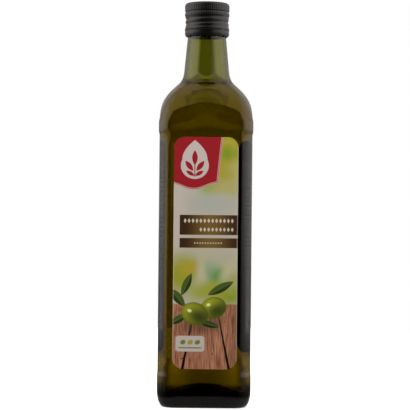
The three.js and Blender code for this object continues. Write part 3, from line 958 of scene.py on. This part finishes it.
# %% Back print
art = Print("back_print_ink", facing=1)
art.stack(None, rgb(198, 194, 182))
art.stack(art.rectangle(-24, 24, 172.0, 188.0), rgb(108, 116, 42))
art.stack(art.rectangle(-24, 24, 170.4, 171.2), rgb(150, 140, 70))
grey_ink = rgb(120, 118, 108)
rules = art.ease(art.math("PINGPONG", art.math("SUBTRACT", art.z, 60.0), 1.6), 0.75, 0.55)
line_ends = art.math("MULTIPLY_ADD", art.noise(art.place, 0.35), 16.0, 10.0)
ragged = art.ease(art.math("SUBTRACT", line_ends, art.x), 0, 0.2)
block = art.rectangle(-19, 19, 92.0, 164.0)
art.stack(art.only(rules, block, ragged), grey_ink)
art.stack(art.rectangle(-19, 19, 44.0, 84.0), rgb(184, 180, 160))
art.stack(art.only(rules, art.rectangle(-16, 4, 48.0, 80.0)), grey_ink)
art.finish_paper(0.45, back_paper)

# %% [markdown]
# ## The light round the bottle
# Glass has no look of its own: it shows what stands round it. On the real set there is a tall soft
# light at each side, a dim panel straight behind the bottle with bright ones beside it, and the front
# is dark. One could build those panels, but a world that answers by direction is quicker to tune.
# A light ring, as a strip of brightness against the compass angle, serves every mirrored ray.

# %% Light ring
RING_TOP = 2.0
RING = (
    (-180, 0.25), (-152, 0.45), (-132, 0.65), (-114, 1.15), (-98, 1.62), (-86, 1.7), (-76, 1.5),
    (-66, 1.2), (-56, 0.85), (-47, 0.5), (-39, 0.14), (-31, 0.0), (21, 0.0), (26, 0.14), (33, 0.5),
    (42, 0.75), (60, 1.1), (76, 1.35), (92, 1.45), (106, 1.2), (120, 0.95), (141, 0.7), (160, 0.4),
    (180, 0.25),
)
WARM = (1.0, 0.94, 0.91, 1)


def light_ring(maker, x, y):
    """Brightness of the ring in the direction x, y. The angle is 0 in front and grows to the right."""
    angle = maker.math("ARCTAN2", x, maker.math("MULTIPLY", y, -1.0))
    share = maker.math("MULTIPLY_ADD", angle, 0.5 / math.pi, 0.5)
    strip = maker.node("ShaderNodeValToRGB", {0: share})
    stops = strip.color_ramp.elements
    stops[0].position, stops[1].position = 0.0, 1.0
    for degrees, _ in RING[1:-1]:
        stops.new(degrees / 360 + 0.5)
    for stop, (_, glow) in zip(stops, RING):
        level = glow / RING_TOP
        stop.color = (level, level, level, 1)
    return maker.math("MULTIPLY", strip.outputs["Color"], RING_TOP)


print("stops on the light ring:", len(RING))

# %% [markdown]
# ## The world
# Four kinds of ray ask the world for light. The camera sees plain white. Rays that bounced off the
# glass or the cap see the ring, dimmer below the horizon and far above it, and a ceiling that the
# slope of the shoulder mirrors. Rays that came through the glass see the panels behind: a dim one in
# the middle, which makes the heart of the oil dark, and bright ones beside it, which give the
# lighter edges. Paper and other matt surfaces get an even soft light. Angles are typed in degrees.

# %% World light
LEVEL = 1.0
SOFT_LIGHT = 1.42
PANEL_DIM, PANEL_BRIGHT, PANEL_BRIGHT_LOW, PANEL_EDGE = 0.48, 1.5, 1.15, (3.9, 6.1)
PANEL_WIDER, PANEL_NARROWER = 3.4, 1.3
GLEAM_BAND, GLEAM_EDGE = 0.76, (2.6, 1.4)
LOW_BRIGHT = 1.0
CEILING_REACH, CEILING_DROP = 0.967, 0.39
CEILING_BRIGHT, CEILING_SIDES, CEILING_MOST = 0.65, 0.9, 1.4

world = bpy.data.worlds.new("studio")
bpy.context.scene.world = world
studio = Recipe("studio", world)
direction = studio.node("ShaderNodeTexCoord").outputs["Generated"]
axes = studio.node("ShaderNodeSeparateXYZ", {0: direction}).outputs
x, y, up = axes[0], axes[1], axes[2]


def by_height(start, end, low=0.0, high=1.0):
    """Eases from low to high as a direction climbs from one height to another."""
    heights = [math.sin(math.radians(degrees)) for degrees in (start, end)]
    return studio.ease(up, *heights, low, high)


def by_width(width, edge, low=0.0, high=1.0):
    """Eases from low to high as a direction swings away from straight behind the bottle."""
    return studio.ease(width, math.radians(edge[0]), math.radians(edge[1]), low, high)


mirrored = studio.math("MULTIPLY", light_ring(studio, x, y), by_height(-6, 1.5, 0.45, 1.15))
mirrored = studio.math("MULTIPLY", mirrored, by_height(38, 56, 1.0, 0.16))
aside = studio.math("ABSOLUTE", x)
overhead = studio.math("MULTIPLY_ADD", y, CEILING_REACH, up)
overhead = studio.math("MULTIPLY_ADD", aside, CEILING_DROP, overhead)
ceiling = studio.math("MULTIPLY_ADD", aside, CEILING_SIDES, CEILING_BRIGHT)
ceiling = studio.math("MINIMUM", ceiling, CEILING_MOST)
ceiling = studio.math("MULTIPLY", ceiling, studio.ease(y, 0.2, 0.7, 1.0, 0.3))
ceiling = studio.math("MAXIMUM", ceiling, mirrored)
mirrored = studio.blend(studio.ease(overhead, -0.03, 0.02), mirrored, ceiling)

sideways = studio.math("ABSOLUTE", studio.math("ARCTAN2", x, y))
wider = studio.math("MULTIPLY", by_height(-9, -5), by_height(4, 2))
wider = studio.math("MULTIPLY", wider, math.radians(PANEL_WIDER))
narrower = studio.math("MULTIPLY", by_height(3.5, 5), math.radians(PANEL_NARROWER))
past_panel = studio.math("ADD", studio.math("SUBTRACT", sideways, wider), narrower)
beside = by_height(-3, -6, PANEL_BRIGHT, PANEL_BRIGHT_LOW)
through = studio.blend(by_width(past_panel, PANEL_EDGE), PANEL_DIM, beside)
band = studio.math("MULTIPLY", by_height(-0.6, 0.4), by_height(3.9, 2.9))
band = studio.math("MULTIPLY", band, by_width(sideways, GLEAM_EDGE))
through = studio.blend(band, through, GLEAM_BAND)
through = studio.blend(by_height(-9.5, -11), through, LOW_BRIGHT)

path = studio.node("ShaderNodeLightPath").outputs
level = studio.blend(path["Is Reflection Ray"], LEVEL, mirrored)
level = studio.blend(path["Is Transmission Ray"], level, through)
level = studio.blend(path["Is Diffuse Ray"], level, SOFT_LIGHT)
hue = studio.mix(path["Is Reflection Ray"], CLEAR, WARM)
backdrop = studio.node("ShaderNodeBackground", {"Color": hue, "Strength": level})
studio.feed(studio.output.inputs["Surface"], backdrop.outputs[0])
print("world nodes:", len(studio.tree.nodes))

# %% [markdown]
# ## The floor
# A pale sweep of matt board, which glows a little so that it melts into the white behind it. Seen in
# the glass it is another thing: mirrored rays find it grey close to the foot, dark just beyond and
# lit by the ring further out, and rays through the oil find it dim straight behind the bottle.
# Distances on the floor are typed in metres, as the shader reads them.

# %% Floor
FLOOR_RADIUS, FLOOR_SIDES, FLOOR_GLOW = 700.0, 96, 0.58
FOOT_GREY, FOOT_EDGE = 0.24, (0.048, 0.062)
BEHIND_EDGE, BEHIND_DIM, BEHIND_BRIGHT = (0.006, 0.05), 0.5, 2.5
FAR_EDGE, FAR_SHARE = (0.28, 0.4), 0.42
DISTANT_EDGE, DISTANT_BRIGHT = (0.30, 0.36), 1.0
angles = [2 * math.pi * i / FLOOR_SIDES for i in range(FLOOR_SIDES)]
rim = [(FLOOR_RADIUS * math.cos(angle), FLOOR_RADIUS * math.sin(angle), 0) for angle in angles]
floor = loft("floor", [[(0, 0, 0)], rim])
recipe = Recipe("pale_floor")
place = recipe.node("ShaderNodeTexCoord").outputs["Object"]
grain = recipe.noise(place, 300.0, 3.0)
pale = recipe.mix(grain, (0.84, 0.84, 0.83, 1), (0.88, 0.88, 0.87, 1))
matt = recipe.node("ShaderNodeBsdfDiffuse", {"Color": pale})
glow = recipe.node("ShaderNodeEmission", {"Strength": FLOOR_GLOW})
lit = recipe.node("ShaderNodeAddShader", {0: matt.outputs[0], 1: glow.outputs[0]})
spot = recipe.node("ShaderNodeSeparateXYZ", {0: place}).outputs
far = recipe.node("ShaderNodeVectorMath", {0: place}, operation="LENGTH").outputs["Value"]
at_foot = recipe.ease(far, *FOOT_EDGE, FOOT_GREY, 0.0)
fading_in = recipe.node("ShaderNodeMapRange", {
    "Value": far, "From Min": 0.1, "From Max": 0.7, "To Min": 0.1, "To Max": 0.6}).outputs[0]
mirrored = recipe.math("MULTIPLY_ADD", light_ring(recipe, spot[0], spot[1]), fading_in, at_foot)
behind = recipe.ease(recipe.math("ABSOLUTE", spot[0]), *BEHIND_EDGE, BEHIND_DIM, BEHIND_BRIGHT)
behind = recipe.math("MULTIPLY", behind, recipe.ease(far, *FAR_EDGE, 1.0, FAR_SHARE))
behind = recipe.math("MAXIMUM", behind, recipe.ease(far, *DISTANT_EDGE, 0.0, DISTANT_BRIGHT))
path = recipe.node("ShaderNodeLightPath").outputs
mirror_view = recipe.node("ShaderNodeEmission", {"Color": WARM, "Strength": mirrored})
through_view = recipe.node("ShaderNodeEmission", {"Strength": behind})
seen = lit
for ray, view in (("Is Reflection Ray", mirror_view), ("Is Transmission Ray", through_view)):
    seen = recipe.node("ShaderNodeMixShader", {0: path[ray], 1: seen.outputs[0], 2: view.outputs[0]})
recipe.coat(floor, seen)
bpy.context.scene.view_settings.view_transform = "Standard"

# %% [markdown]
# ## Sizes
# Dressing must not change the bottle's size.
